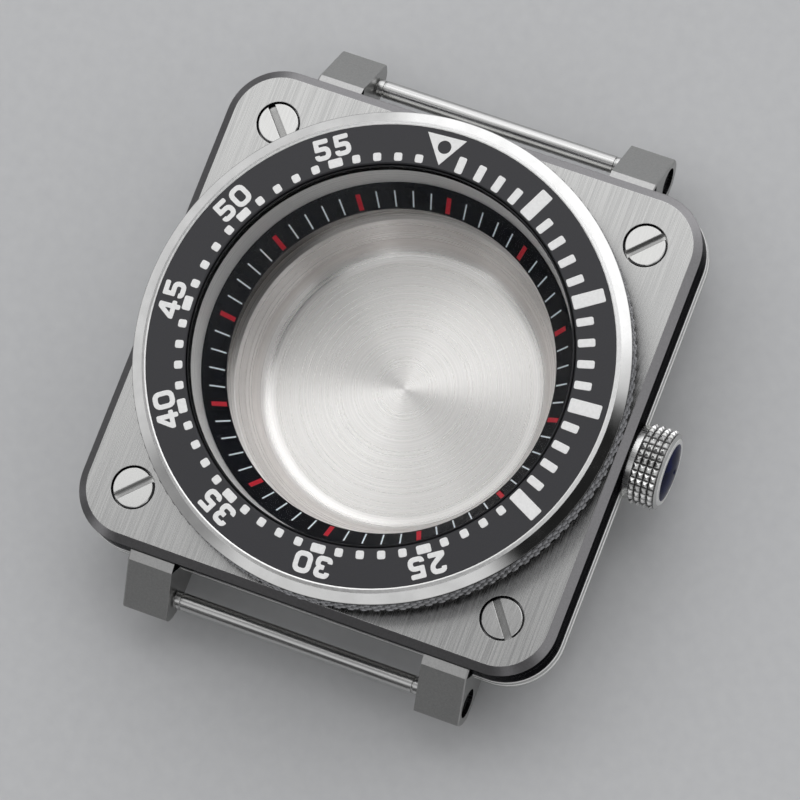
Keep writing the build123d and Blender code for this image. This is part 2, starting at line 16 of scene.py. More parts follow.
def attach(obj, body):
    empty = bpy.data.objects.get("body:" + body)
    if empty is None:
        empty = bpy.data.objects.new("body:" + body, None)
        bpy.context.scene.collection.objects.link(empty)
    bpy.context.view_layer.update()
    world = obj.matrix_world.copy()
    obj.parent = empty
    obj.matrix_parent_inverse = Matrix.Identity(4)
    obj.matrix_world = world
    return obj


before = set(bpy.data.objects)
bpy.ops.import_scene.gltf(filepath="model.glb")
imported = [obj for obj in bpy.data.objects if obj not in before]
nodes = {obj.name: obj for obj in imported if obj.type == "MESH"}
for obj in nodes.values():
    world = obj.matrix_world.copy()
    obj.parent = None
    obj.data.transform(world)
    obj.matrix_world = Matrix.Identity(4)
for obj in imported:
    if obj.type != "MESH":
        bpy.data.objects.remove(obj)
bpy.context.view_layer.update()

MM = 0.001
print("nodes:", len(nodes))

# %% [markdown]
# ## Camera
# The picture was taken with a long lens from high above the 4 o'clock corner, with the watch
# turned on its axis. A camera is placed by its own three axes: its X runs to the right of the
# picture, its Y up, and its Z backwards, away from the case. They are the columns of its matrix.

# %% Camera
CAMERA_PLACE = Vector((101.923, -68.848, 408.378)) * MM
CAMERA_RIGHT = Vector((0.91754, 0.35937, -0.17020))
CAMERA_BACK = Vector((0.24025, -0.15994, 0.95744))
LENS_MM = 230.27
SENSOR_MM = 36.0
NEAR, FAR = 0.01, 20.0

camera_data = bpy.data.cameras.new("camera")
camera_data.lens = LENS_MM
camera_data.sensor_width = SENSOR_MM
camera_data.clip_start = NEAR
camera_data.clip_end = FAR
camera = bpy.data.objects.new("camera", camera_data)
bpy.context.scene.collection.objects.link(camera)
back = CAMERA_BACK.normalized()
right = (CAMERA_RIGHT - back * CAMERA_RIGHT.dot(back)).normalized()
up = back.cross(right)
axes = Matrix((right, up, back)).transposed().to_4x4()
camera.matrix_world = Matrix.Translation(CAMERA_PLACE) @ axes
bpy.context.scene.camera = camera
# plain display colours, so a material's hex colour is what the eye gets under white light
bpy.context.scene.view_settings.view_transform = "Standard"
tilt_down = math.degrees(back.angle(Vector((0, 0, 1))))
print("camera tilt from straight down:", round(tilt_down, 1), "degrees")

# %% [markdown]
# ## Colours and nodes
# Colours are written as they look on a screen, in hex, and one function turns them into the
# linear values that a renderer counts in. A second small function adds any node, sets its
# properties and feeds its inputs, so a whole material reads as a short list.

# %% Helpers for colours and nodes
material_names = []


def linear(hex_colour):
    """An sRGB hex colour as linear red, green, blue and alpha."""
    channels = [int(hex_colour[start:start + 2], 16) / 255 for start in (1, 3, 5)]
    return tuple(c / 12.92 if c <= 0.04045 else ((c + 0.055) / 1.055) ** 2.4
                 for c in channels) + (1.0,)


def add_node(tree, kind, feeds=None, **settings):
    """Adds a node, sets its properties, and sets or links the inputs named in feeds."""
    made = tree.nodes.new(kind)
    for name, value in settings.items():
        setattr(made, name, value)
    for name, value in (feeds or {}).items():
        if isinstance(value, bpy.types.NodeSocket):
            tree.links.new(value, made.inputs[name])
        else:
            made.inputs[name].default_value = value
    return made


def new_material(name, **shader):
    """A material with its Principled shader's sockets set by name, spaces written as _."""
    material_names.append(name)
    material = bpy.data.materials.new(name)
    material.use_nodes = True
    principled = material.node_tree.nodes["Principled BSDF"]
    for socket, value in shader.items():
        principled.inputs[socket.replace("_", " ")].default_value = value
    return material, material.node_tree, principled


# %% [markdown]
# ## Light
# Polished steel shows nothing but its surroundings, so the studio is a dome of soft light: pale
# overhead and dimmer at the horizon, with two bright panels behind 12 o'clock, and grey and black
# cards where a face of the steel has to look darker. Each is a direction with a soft edge.

# %% Studio dome
HORIZON_HEIGHT, PALE_HEIGHT = -0.10, 0.35
HORIZON_LIGHT, PALE_LIGHT = 0.30, 0.90


def heading(azimuth, tilt):
    """A unit direction from its azimuth and its tilt from straight up, in degrees."""
    turn, lean = math.radians(azimuth), math.radians(tilt)
    level = math.sin(lean)
    return Vector((level * math.cos(turn), level * math.sin(turn), math.cos(lean)))


world = bpy.data.worlds.new("studio_dome")
world.use_nodes = True
bpy.context.scene.world = world
sky = world.node_tree
sky_shader = sky.nodes["Background"]
look = add_node(sky, "ShaderNodeTexCoord").outputs["Generated"]
height = add_node(sky, "ShaderNodeSeparateXYZ", {0: look}).outputs["Z"]
dome = add_node(sky, "ShaderNodeMapRange", {
    "Value": height, "From Min": HORIZON_HEIGHT, "From Max": PALE_HEIGHT,
    "To Min": HORIZON_LIGHT, "To Max": PALE_LIGHT},
                interpolation_type="SMOOTHSTEP").outputs["Result"]
# azimuth, tilt, inner radius and outer radius in degrees, and the patch's own brightness
SKY_PATCHES = [
    (148, 14, 14, 28, 0.36),
    (82, 52, 26, 36, 1.60),
    (102, 76, 8, 20, 1.40),
    (-98, 63, 15, 25, 0.07),
    (-105, 96, 12, 26, 0.10),
    (9, 60, 7, 20, 0.76),
    (-48, 56, 12, 24, 0.12),
    (208, 76, 8, 20, 0.12),
    (172, 86, 10, 22, 0.08),
    (138, 90, 8, 20, 0.06),
    (212, 46, 5, 16, 0.38),
    (-4, 27, 15, 22, 0.02),
]
for azimuth, tilt, inner, outer, brightness in SKY_PATCHES:
    nearness = add_node(sky, "ShaderNodeVectorMath", {0: look, 1: heading(azimuth, tilt)},
                        operation="DOT_PRODUCT").outputs["Value"]
    share = add_node(sky, "ShaderNodeMapRange", {
        "Value": nearness, "From Min": math.cos(math.radians(outer)),
        "From Max": math.cos(math.radians(inner))},
                     interpolation_type="SMOOTHSTEP").outputs["Result"]
    mixed = add_node(sky, "ShaderNodeMix", {0: share, 2: dome, 3: brightness}, data_type="FLOAT")
    dome = mixed.outputs[0]
sky.links.new(dome, sky_shader.inputs["Strength"])
sky_shader.inputs["Color"].default_value = linear("#FDFDFF")
print("sky patches:", len(SKY_PATCHES))

# %% [markdown]
# ## Overhead softbox
# The dome is endlessly far away, so it lights every corner of the plate alike. One softbox hangs
# close above the upper left corner. From the lower right corner its edge is nearly out of sight,
# and the brushed plate grows darker towards that corner.

# %% Overhead softbox
SOFTBOX_SIDE = 0.22
SOFTBOX_PLACE = Vector((-104, 133, 300)) * MM
SOFTBOX_TURN = 26.6
SOFTBOX_RADIANCE = 0.66

softbox_data = bpy.data.lights.new("overhead_softbox", "AREA")
softbox_data.shape = "SQUARE"
softbox_data.size = SOFTBOX_SIDE
softbox_data.energy = SOFTBOX_RADIANCE * math.pi * SOFTBOX_SIDE ** 2
softbox = bpy.data.objects.new("overhead_softbox", softbox_data)
bpy.context.scene.collection.objects.link(softbox)
softbox_turn = Matrix.Rotation(math.radians(SOFTBOX_TURN), 4, "Z")
softbox.matrix_world = Matrix.Translation(SOFTBOX_PLACE) @ softbox_turn
softbox.visible_camera = False
print("softbox power:", round(softbox_data.energy, 3), "W")

# %% [markdown]
# ## Floor
# The case lies on a sheet of pale paper, larger than anything the camera sees.

# %% Floor
FLOOR_HALF = 0.6
FIBRES_PER_METRE = 900.0


def to_metres(bm):
    """Scales a bmesh that was drawn in millimetres."""
    bmesh.ops.scale(bm, vec=(MM, MM, MM), verts=bm.verts)


def link_piece(name, bm, material):
    """Turns a bmesh into an object at the origin with one material."""
    mesh = bpy.data.meshes.new(name)
    bm.to_mesh(mesh)
    bm.free()
    mesh.materials.append(material)
    piece = bpy.data.objects.new(name, mesh)
    bpy.context.scene.collection.objects.link(piece)
    return piece


def object_place(tree):
    """The Object coordinates of the point being shaded, in metres."""
    return add_node(tree, "ShaderNodeTexCoord").outputs["Object"]


paper, tree, shader = new_material("pale_paper", Roughness=0.85)
fibre = add_node(tree, "ShaderNodeTexNoise", {
    "Vector": object_place(tree), "Scale": FIBRES_PER_METRE, "Detail": 4.0})
paper_colour = add_node(tree, "ShaderNodeMix", {
    0: fibre.outputs["Fac"], 6: linear("#C6C7C8"), 7: linear("#D0D1D1")}, data_type="RGBA")
tree.links.new(paper_colour.outputs[2], shader.inputs["Base Color"])
bm = bmesh.new()
bmesh.ops.create_grid(bm, x_segments=1, y_segments=1, size=FLOOR_HALF)
floor = link_piece("paper_floor", bm, paper)

# %% [markdown]
# ## Steel
# All the metal is one stainless steel, cut and finished in different ways, and each way leaves
# fine marks in one direction. A brushed face spreads its reflections across the brush lines, a
# turned face spreads them along its radius, and a polished face only has faint swirls. The
# shader's anisotropy stretches a highlight along its tangent, so the tangent is laid square to
# the lines. Sharp edges are never quite sharp: the Bevel node rounds them in the shading.
# Some colours also hold painted shade: in grooves and slots, and on faces that reflect the dark.

# %% Steel finishes
MICRON = 1e-6
EDGE_ROUND = 0.07 * MM
EDGE_SAMPLES = 4
GROOVE_SAMPLES = 8
CROWN_AXIS_Z = 5.8
# an axis is a point on it, and 1 for each of the two directions square to it
CASE_AXIS = ((0.0, 0.0, 0.0), (1.0, 1.0, 0.0))
CROWN_AXIS = ((0.0, 0.0, CROWN_AXIS_Z * MM), (0.0, 1.0, 1.0))
# nearly all of a noise lies between these two values
NOISE_LOW, NOISE_HIGH = 0.3, 0.7
NOISE_DETAIL = 3.0
# how open a point lies to the sky at the bottom of a slot, and beside it
OPEN_LOW, OPEN_HIGH = 0.25, 0.85


def eased_edges(tree):
    """A normal that rounds every edge of the piece a little, as polishing does."""
    return add_node(tree, "ShaderNodeBevel", {"Radius": EDGE_ROUND},
                    samples=EDGE_SAMPLES).outputs["Normal"]


def streaks(tree, across, width, length):
    """Noise drawn out into lines of one width and length; across names the axis over the lines."""
    scale = {"X": (1 / width, 1 / length, 1 / width),
             "Y": (1 / length, 1 / width, 1 / width)}[across]
    place = add_node(tree, "ShaderNodeMapping", {"Vector": object_place(tree), "Scale": scale})
    return add_node(tree, "ShaderNodeTexNoise", {
        "Vector": place.outputs["Vector"], "Scale": 1.0, "Detail": NOISE_DETAIL,
        "Roughness": 0.6}).outputs["Fac"]


def axis_distance(tree, axis):
    """The distance of the point being shaded from an axis."""
    centre, flat = axis
    offset = add_node(tree, "ShaderNodeVectorMath", {0: object_place(tree), 1: centre},
                      operation="SUBTRACT")
    flattened = add_node(tree, "ShaderNodeVectorMath", {0: offset.outputs[0], 1: flat},
                         operation="MULTIPLY")
    return add_node(tree, "ShaderNodeVectorMath", {0: flattened.outputs[0]},
                    operation="LENGTH").outputs["Value"]


def lines_along(tree, value, pitch):
    """Noise that changes only with one value, in steps of about one pitch."""
    return add_node(tree, "ShaderNodeTexNoise", {
        "W": value, "Scale": 1 / pitch, "Detail": NOISE_DETAIL, "Roughness": 0.55},
                    noise_dimensions="1D").outputs["Fac"]


def ring_lines(tree, pitch):
    """Circles round the case's axis, as a turning tool leaves them."""
    return lines_along(tree, axis_distance(tree, CASE_AXIS), pitch)


def level_lines(tree, pitch):
    """Level lines, as a boring bar leaves them on an upright wall."""
    level = add_node(tree, "ShaderNodeSeparateXYZ", {0: object_place(tree)}).outputs["Z"]
    return lines_along(tree, level, pitch)


def grain(tree, size):
    """Even noise of one grain size."""
    return add_node(tree, "ShaderNodeTexNoise", {
        "Vector": object_place(tree), "Scale": 1 / size, "Detail": NOISE_DETAIL}).outputs["Fac"]


def groove_shade(tree, reach, darkest):
    """Painted shade: 1 in the open, down to darkest where the metal closes in on itself within
    reach.
    """
    closed = add_node(tree, "ShaderNodeAmbientOcclusion", {"Distance": reach},
                      samples=GROOVE_SAMPLES, only_local=True)
    return add_node(tree, "ShaderNodeMapRange", {
        "Value": closed.outputs["AO"], "From Min": OPEN_LOW, "From Max": OPEN_HIGH,
        "To Min": darkest, "To Max": 1.0}).outputs[0]


# Painted shade by distance from an axis: dark in a knurl's grooves or along an edge
def radial_shade(tree, axis, dark_at, clear_at, darkest):
    """1 at one distance from an axis, down to darkest at another, such as a knurl's grooves."""
    return add_node(tree, "ShaderNodeMapRange", {
        "Value": axis_distance(tree, axis), "From Min": dark_at, "From Max": clear_at,
        "To Min": darkest, "To Max": 1.0}).outputs[0]


def darkened(tree, colour, shade):
    """A colour times a shade from 0 to 1."""
    grey = add_node(tree, "ShaderNodeCombineColor", {0: shade, 1: shade, 2: shade})
    return add_node(tree, "ShaderNodeMix", {0: 1.0, 6: colour, 7: grey.outputs[0]},
                    data_type="RGBA", blend_type="MULTIPLY").outputs[2]


def finish_surface(tree, shader, marks, depth, rough, colours, shade=None):
    """Lets one pattern of marks drive relief, roughness and colour; shade darkens the colour."""
    relief = add_node(tree, "ShaderNodeBump", {
        "Height": marks, "Distance": depth, "Normal": eased_edges(tree)})
    tree.links.new(relief.outputs["Normal"], shader.inputs["Normal"])
    spread = add_node(tree, "ShaderNodeMapRange", {
        "Value": marks, "From Min": NOISE_LOW, "From Max": NOISE_HIGH}).outputs[0]
    roughness = add_node(tree, "ShaderNodeMapRange", {
        "Value": spread, "To Min": rough[0], "To Max": rough[1]})
    tree.links.new(roughness.outputs["Result"], shader.inputs["Roughness"])
    colour = add_node(tree, "ShaderNodeMix", {
        0: spread, 6: linear(colours[0]), 7: linear(colours[1])}, data_type="RGBA").outputs[2]
    if shade:
        colour = darkened(tree, colour, shade)
    tree.links.new(colour, shader.inputs["Base Color"])


def straight_tangent(tree, shader, direction):
    """Stretches highlights along one direction of the piece, also when the piece turns."""
    turned = add_node(tree, "ShaderNodeVectorTransform", {"Vector": direction},
                      vector_type="VECTOR", convert_from="OBJECT", convert_to="WORLD")
    tree.links.new(turned.outputs["Vector"], shader.inputs["Tangent"])


def round_tangent(tree, shader, axis):
    """Stretches highlights round an axis; the shader's own rotation turns them to run outwards."""
    around = add_node(tree, "ShaderNodeTangent", direction_type="RADIAL", axis=axis)
    tree.links.new(around.outputs["Tangent"], shader.inputs["Tangent"])


# Face plate: brushed from 12 to 6 o'clock with a fine belt, which gives long soft lines
brushed_face, tree, shader = new_material("brushed_stainless_steel", Metallic=1.0, Anisotropic=0.7)
finish_surface(tree, shader, streaks(tree, "X", width=0.13 * MM, length=12 * MM),
               depth=1.8 * MICRON, rough=(0.22, 0.32), colours=("#B8B8B7", "#D8D8D6"))
straight_tangent(tree, shader, (1.0, 0.0, 0.0))

# Lugs and the underside of the case: an even satin from a fine brush
satin_steel, tree, shader = new_material("satin_stainless_steel", Metallic=1.0)
finish_surface(tree, shader, grain(tree, 0.14 * MM), depth=0.6 * MICRON,
               rough=(0.32, 0.35), colours=("#A2A2A1", "#B0B0AE"))

# Bevel round the face plate: the same satin, honed with a stone. Its deeper grey is painted shade,
# and so is its dimmed grazing shine: both stand in for the dark that the bevel reflects
honed_steel_painted_dark, tree, shader = new_material("honed_stainless_steel_painted_dark", Metallic=1.0,
                                         Specular_Tint=linear("#C8C8C8"))
finish_surface(tree, shader, grain(tree, 0.14 * MM), depth=0.6 * MICRON,
               rough=(0.30, 0.33), colours=("#868586", "#908F90"))

# Walls under the face plate, lip of the bezel and recesses of the lugs: ground, with painted shade:
# their dark grey and dimmed grazing shine stand in for the dark that these faces reflect
ground_steel_painted_dark, tree, shader = new_material("ground_stainless_steel_painted_dark", Metallic=1.0,
                                          Specular_Tint=linear("#7A7A7C"))
finish_surface(tree, shader, level_lines(tree, 0.10 * MM), depth=1.0 * MICRON,
               rough=(0.20, 0.32), colours=("#464648", "#565658"))

# Belts, inner parts of the crown and tips of the bars: polished to a mirror, with faint swirls
polished_steel, tree, shader = new_material("polished_stainless_steel", Metallic=1.0)
finish_surface(tree, shader, grain(tree, 2.2 * MM), depth=0.6 * MICRON,
               rough=(0.05, 0.12), colours=("#CACAC8", "#DADAD8"))

# Slope of the bezel: the same polish, with a painted dark reflection along its outer edge
slope_painted_dark_edge, tree, shader = new_material("polished_steel_painted_dark_edge", Metallic=1.0)
finish_surface(tree, shader, grain(tree, 2.2 * MM), depth=0.6 * MICRON,
               rough=(0.05, 0.12), colours=("#CACAC8", "#DADAD8"),
               shade=radial_shade(tree, CASE_AXIS, dark_at=20.56 * MM, clear_at=20.45 * MM,
                                  darkest=0.12))

# Knurl of the crown: pressed in by a wheel, bright on the points, with painted shade in the grooves
knurled_steel, tree, shader = new_material("knurled_stainless_steel", Metallic=1.0)
finish_surface(tree, shader, grain(tree, 0.15 * MM), depth=0.8 * MICRON,
               rough=(0.14, 0.24), colours=("#DCDCDA", "#EEEEEC"),
               shade=radial_shade(tree, CROWN_AXIS, dark_at=3.17 * MM, clear_at=3.29 * MM,
                                  darkest=0.03))

# Collar of the crown: finished along the axis with a fine file, so it shows bands of light
filed_steel, tree, shader = new_material("filed_stainless_steel", Metallic=1.0)
finish_surface(tree, shader, streaks(tree, "Y", width=0.14 * MM, length=3 * MM),
               depth=1.4 * MICRON, rough=(0.22, 0.32), colours=("#CACAC8", "#F0F0EE"))

# Knurl of the bezel: grey, with painted shade deep in its grooves, so only its points shine
knurl_painted_groove_shade, tree, shader = new_material("knurled_steel_painted_groove_shade", Metallic=1.0,
                                        Specular_Tint=linear("#C0C0C0"))
finish_surface(tree, shader, grain(tree, 0.2 * MM), depth=0.8 * MICRON,
               rough=(0.20, 0.32), colours=("#A4A4A6", "#C0C0C2"),
               shade=radial_shade(tree, CASE_AXIS, dark_at=20.33 * MM, clear_at=20.54 * MM,
                                  darkest=0.03))

# Screw heads: faced flat and polished, with painted shade darkening their slots
slotted_steel, tree, shader = new_material("faced_screw_steel", Metallic=1.0)
finish_surface(tree, shader, streaks(tree, "X", width=0.06 * MM, length=2 * MM),
               depth=0.6 * MICRON, rough=(0.12, 0.20), colours=("#D6D6D4", "#E4E4E2"),
               shade=groove_shade(tree, reach=0.7 * MM, darkest=0.06))

# Spring bars: a drawn tube, polished lengthwise
drawn_steel, tree, shader = new_material("drawn_stainless_tube", Metallic=1.0, Anisotropic=0.5)
finish_surface(tree, shader, streaks(tree, "Y", width=0.07 * MM, length=6 * MM),
               depth=1.0 * MICRON, rough=(0.16, 0.28), colours=("#B4B4B3", "#CDCDCB"))
straight_tangent(tree, shader, (0.0, 1.0, 0.0))

# Inside of the case back: faced on a lathe, so every groove is a circle round the centre
turned_steel, tree, shader = new_material("turned_stainless_steel", Metallic=1.0, Anisotropic=1.0,
                                          Anisotropic_Rotation=0.25)
finish_surface(tree, shader, ring_lines(tree, 0.16 * MM), depth=1.0 * MICRON,
               rough=(0.26, 0.34), colours=("#E6E1DE", "#FAF5F2"))
round_tangent(tree, shader, "Z")

# Bore and neck: bored and left matt, so the wall takes light from the whole opening
# Painted shade darkens its colour a little where the metal closes in.
bored_steel, tree, shader = new_material("bored_stainless_steel", Metallic=1.0)
finish_surface(tree, shader, level_lines(tree, 0.12 * MM), depth=0.8 * MICRON,
               rough=(0.44, 0.60), colours=("#C6C6C8", "#F0F0EE"),
               shade=groove_shade(tree, reach=0.5 * MM, darkest=0.6))

# Wall of the container under the chapter ring: bored bright, darker grey and a little brown
# Painted shade darkens it further where the metal closes in.
brownish_shaded_bore, tree, shader = new_material("brownish_shaded_bore_steel", Metallic=1.0)
finish_surface(tree, shader, level_lines(tree, 0.3 * MM), depth=0.4 * MICRON,
               rough=(0.18, 0.26), colours=("#7C7773", "#918C87"),
               shade=groove_shade(tree, reach=0.5 * MM, darkest=0.5))

# Rims round the insert and the stone, edges of the belts: lapped to a soft shine, bright from
# every side
lapped_steel, tree, shader = new_material("lapped_stainless_steel", Metallic=1.0)
finish_surface(tree, shader, grain(tree, 0.3 * MM), depth=0.4 * MICRON,
               rough=(0.42, 0.50), colours=("#EAEAE8", "#F6F6F4"))

# Springs: plain rolled strip and wire
spring_steel, tree, shader = new_material("rolled_spring_steel", Metallic=1.0)
finish_surface(tree, shader, grain(tree, 0.3 * MM), depth=0.5 * MICRON,
               rough=(0.22, 0.34), colours=("#8B8C8F", "#A0A1A4"))

steel_count = len(material_names) - 1
print("steel finishes:", steel_count)

# %% [markdown]
# ## The other materials
# The insert is aluminium anodised near black: matt, with the faintest grain. The chapter ring is
# lacquered brass, black and glossy. The crystal is flat sapphire, which bends light strongly. The
# gaskets are black rubber, and the crown holds a dark blue stone.

# %% Insert, lacquer, print, rubber, stone and sapphire
SAPPHIRE_IOR = 1.77
SAPPHIRE_TINT = linear("#FDFEFE")
GLARE_LEFT = 0.25

anodised_black, tree, shader = new_material("black_anodised_aluminium")
finish_surface(tree, shader, grain(tree, 0.11 * MM), depth=1.2 * MICRON,
               rough=(0.40, 0.52), colours=("#29292C", "#303034"))

black_lacquer, tree, shader = new_material("black_lacquer", Specular_IOR_Level=0.2)
finish_surface(tree, shader, grain(tree, 1.5 * MM), depth=0.3 * MICRON,
               rough=(0.17, 0.19), colours=("#0B0C0F", "#12141A"))

white_print, tree, shader = new_material("white_enamel_print")
finish_surface(tree, shader, grain(tree, 0.25 * MM), depth=1.0 * MICRON,
               rough=(0.42, 0.55), colours=("#F2F2F0", "#FCFCFA"))

tick_white, tree, shader = new_material("white_dial_paint")
finish_surface(tree, shader, grain(tree, 0.2 * MM), depth=0.5 * MICRON,
               rough=(0.4, 0.5), colours=("#EAF4FA", "#F6FBFE"))

tick_red, tree, shader = new_material("red_dial_paint")
finish_surface(tree, shader, grain(tree, 0.2 * MM), depth=0.5 * MICRON,
               rough=(0.35, 0.45), colours=("#C01028", "#D21830"))

black_rubber, tree, shader = new_material("black_nitrile_rubber")
finish_surface(tree, shader, grain(tree, 0.1 * MM), depth=1.5 * MICRON,
               rough=(0.55, 0.7), colours=("#0E0E0F", "#161617"))

blue_stone, tree, shader = new_material("blue_spinel", IOR=1.14, Specular_IOR_Level=0.25)
finish_surface(tree, shader, grain(tree, 1.2 * MM), depth=0.1 * MICRON,
               rough=(0.03, 0.06), colours=("#02061F", "#041045"))

# The crystal's rim is ground, not polished, and the gasket shows through it as a dark line
sapphire_edge, tree, shader = new_material("ground_sapphire_edge", IOR=SAPPHIRE_IOR)
finish_surface(tree, shader, grain(tree, 0.1 * MM), depth=0.5 * MICRON,
               rough=(0.45, 0.60), colours=("#17181A", "#232427"))

# The crystal's faces are coated against glare, so they reflect much less than bare sapphire. Light
# that falls on the ring and the back through it is let straight in, which keeps them free of noise.
sapphire, tree, shader = new_material("coated_sapphire", IOR=SAPPHIRE_IOR, Roughness=0.0,
                                      Transmission_Weight=1.0, Base_Color=SAPPHIRE_TINT)
bent = add_node(tree, "ShaderNodeBsdfRefraction", {
    "Color": SAPPHIRE_TINT, "Roughness": 0.0, "IOR": SAPPHIRE_IOR})
glare = add_node(tree, "ShaderNodeFresnel", {"IOR": SAPPHIRE_IOR}).outputs["Fac"]
coat_share = add_node(tree, "ShaderNodeMapRange", {
    "Value": glare, "From Max": 1.0, "To Min": 0.0, "To Max": GLARE_LEFT})
coated = add_node(tree, "ShaderNodeMixShader", {
    0: coat_share.outputs["Result"], 1: bent.outputs[0], 2: shader.outputs[0]})
ray = add_node(tree, "ShaderNodeLightPath")
let_in = add_node(tree, "ShaderNodeMath", {
    0: ray.outputs["Is Shadow Ray"], 1: ray.outputs["Is Diffuse Ray"]}, operation="MAXIMUM")
clear = add_node(tree, "ShaderNodeBsdfTransparent")
glazed = add_node(tree, "ShaderNodeMixShader", {
    0: let_in.outputs[0], 1: coated.outputs[0], 2: clear.outputs[0]})
tree.links.new(glazed.outputs[0], tree.nodes["Material Output"].inputs["Surface"])
print("other materials:", len(material_names) - 1 - steel_count)

# %% [markdown]
# ## Dressing the solids
# Most solids take one material. Six have several finishes, such as the middle case, which is one
# forging. Their faces are sorted by where they lie and which way they point, and each takes one
# of the solid's materials.

# %% Materials of the solids
PLAIN_NODES = {
    "plate_screws": slotted_steel, "back_screws": slotted_steel, "chapter_ring": black_lacquer,
    "bezel_insert": anodised_black, "bezel_retaining_ring": spring_steel,
    "click_spring": spring_steel, "crystal_gasket": black_rubber, "case_back_gasket": black_rubber,
    "crown_tube": bored_steel, "crown_cabochon": blue_stone, "crown_seal": black_rubber,
}
for bar in ("upper_bar", "lower_bar"):
    PLAIN_NODES.update({bar + "_tube": drawn_steel, bar + "_coil": spring_steel,
                        bar + "_right_tip": polished_steel, bar + "_left_tip": polished_steel})
for name, material in PLAIN_NODES.items():
    nodes[name].data.materials.clear()
    nodes[name].data.materials.append(material)

# the middle case, in millimetres: belts, square side, neck, crystal seat, bar holes and lugs
BELT_LOW, BELT_HIGH = 4.69, 6.66
BELT_INSIDE, BELT_OUTSIDE = 20.6, 21.3
CORNER_CENTRE = 16.3
NECK_OUTSIDE = 17.3
CONTAINER_TOP = 8.2
CRYSTAL_BOTTOM, CRYSTAL_SEAT = 12.55, 15.8
BAR_Y, BAR_Z = 23.15, 4.4
LUG_INSIDE, RECESS_FLOOR = 14.5, 15.0
RECESS_REACH = 1.3
# the case back, the bezel ring and the crown
BACK_OUTER_FACE, BACK_INSIDE = 0.01, 1.39
KNURL_FLOOR, KNURL_TOP = 20.0, 13.47
LIP_REACH = 20.4
RIM_OUTSIDE, RIM_BOTTOM = 19.66, 14.0
CROWN_BORE = 2.4
CROWN_KNURL_FROM, CROWN_KNURL_TO = 21.66, 23.86
STONE_RIM_X = 24.1
# the upward part of a face's direction: level faces, bevels and steep faces
LEVEL, BEVEL, EASED, STEEP, UPRIGHT = 0.95, 0.2, 0.3, 0.5, 0.1


def dress_faces(name, materials, choose):
    """Gives each face of a solid the material that choose returns, which is one of the list."""
    mesh = nodes[name].data
    mesh.materials.clear()
    for material in materials:
        mesh.materials.append(material)
    for face in mesh.polygons:
        face.material_index = materials.index(choose(face.center / MM, face.normal))


def side_reach(place):
    """The half side of the case's rounded square that passes through a point."""
    over_x, over_y = abs(place.x) - CORNER_CENTRE, abs(place.y) - CORNER_CENTRE
    if min(over_x, over_y) > 0:
        return CORNER_CENTRE + math.hypot(over_x, over_y)
    return max(abs(place.x), abs(place.y))


def mid_case_finish(place, normal):
    """Bores by height; recesses and walls ground, painted dark; belts polished; the rest satin."""
    reach = side_reach(place)
    radius = math.hypot(place.x, place.y)
    if radius < NECK_OUTSIDE:
        if place.z > CRYSTAL_BOTTOM and radius > CRYSTAL_SEAT:
            return ground_steel_painted_dark
        return bored_steel if place.z > CONTAINER_TOP else brownish_shaded_bore
    from_bar = math.hypot(abs(place.y) - BAR_Y, place.z - BAR_Z)
    if abs(place.x) > LUG_INSIDE and from_bar < RECESS_REACH:
        return ground_steel_painted_dark if abs(place.x) < RECESS_FLOOR else satin_steel
    if BELT_INSIDE < reach < BELT_OUTSIDE and BELT_LOW < place.z < BELT_HIGH:
        return lapped_steel if normal.z > EASED else polished_steel
    if reach < BELT_OUTSIDE and place.z > BELT_HIGH and abs(normal.z) < UPRIGHT:
        return ground_steel_painted_dark
    return satin_steel


def plate_finish(place, normal):
    """The face plate's brushed top, and its honed bevel and ground sides, both painted darker."""
    if normal.z > LEVEL:
        return brushed_face
    return honed_steel_painted_dark if normal.z > BEVEL else ground_steel_painted_dark


def back_finish(place, normal):
    """The case back is turned inside and on its outer face, and satin between."""
    turned = place.z > BACK_INSIDE or place.z < BACK_OUTER_FACE
    return turned_steel if turned else satin_steel


def bezel_finish(place, normal):
    """The knurl, the lip over it painted dark, the rim round the insert and the polished slope."""
    radius = math.hypot(place.x, place.y)
    if radius > KNURL_FLOOR and place.z < KNURL_TOP:
        return knurl_painted_groove_shade
    if radius > LIP_REACH and abs(normal.z) < STEEP:
        return ground_steel_painted_dark
    if radius < RIM_OUTSIDE and place.z > RIM_BOTTOM:
        return lapped_steel
    return slope_painted_dark_edge


def crystal_finish(place, normal):
    """The crystal's two clear faces and its ground edge."""
    return sapphire if abs(normal.z) > LEVEL else sapphire_edge


def crown_finish(place, normal):
    """The knurl, the filed collar, the bright rim round the stone and the polished rest."""
    radius = math.hypot(place.y, place.z - CROWN_AXIS_Z)
    if radius > CROWN_BORE and place.x < CROWN_KNURL_TO:
        return knurled_steel if place.x > CROWN_KNURL_FROM else filed_steel
    return lapped_steel if place.x > STONE_RIM_X else polished_steel


SORTED_NODES = {
    "mid_case": ([satin_steel, ground_steel_painted_dark, lapped_steel, bored_steel, brownish_shaded_bore,
                  polished_steel], mid_case_finish),
    "top_plate": ([brushed_face, honed_steel_painted_dark, ground_steel_painted_dark], plate_finish),
    "case_back": ([turned_steel, satin_steel], back_finish),
    "bezel_ring": ([slope_painted_dark_edge, knurl_painted_groove_shade, lapped_steel, ground_steel_painted_dark], bezel_finish),
    "crystal": ([sapphire, sapphire_edge], crystal_finish),
    "crown": ([polished_steel, knurled_steel, filed_steel, lapped_steel], crown_finish),
}
for name, (materials, choose) in SORTED_NODES.items():
    dress_faces(name, materials, choose)
print("solids dressed:", len(PLAIN_NODES) + len(SORTED_NODES))

# %% [markdown]
# ## Collar of the crown
# Between the crown's knurl and the case sits a plain collar, nearly as wide as the knurl. It is
# turned from one profile: a spin carries the profile once round the crown's axis and joins its
# ends, and only its corners stay sharp in the shading.

